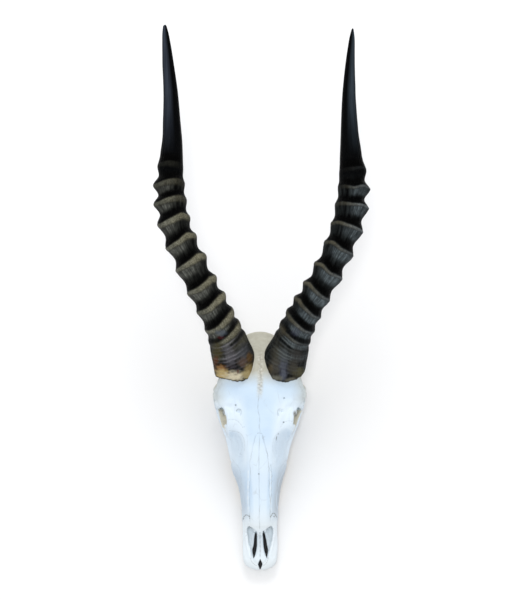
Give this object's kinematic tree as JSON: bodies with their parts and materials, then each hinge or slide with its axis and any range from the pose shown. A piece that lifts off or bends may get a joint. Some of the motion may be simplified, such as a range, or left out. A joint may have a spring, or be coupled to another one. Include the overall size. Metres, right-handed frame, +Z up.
{
  "type": "blesbok skull",
  "caption": "Bleached upper skull of a blesbok with ringed, lyre-shaped horn sheaths and worn cheek teeth, lying on its teeth.",
  "frame": {"origin": "middle of the object's box on the plane that the worn cheek teeth stand on", "axes": "+Z up from the tooth row, -Y along the muzzle, +Y back along the horns, +X the animal's left side"},
  "size_m": [0.2574, 0.6076, 0.2882],
  "materials": {
    "bone": "bleached dry bone, matt",
    "horn": "dark ringed keratin with a low sheen",
    "enamel": "worn yellowish enamel, satin"
  },
  "bodies": {
    "root": {"cranium": "bone", "horn_left": "horn", "horn_right": "horn", "tooth_left_p2": "enamel", "tooth_left_p3": "enamel", "tooth_left_p4": "enamel", "tooth_left_m1": "enamel", "tooth_left_m2": "enamel", "tooth_left_m3": "enamel", "tooth_right_p2": "enamel", "tooth_right_p3": "enamel", "tooth_right_p4": "enamel", "tooth_right_m1": "enamel", "tooth_right_m2": "enamel", "tooth_right_m3": "enamel"}
  },
  "joints": []
}
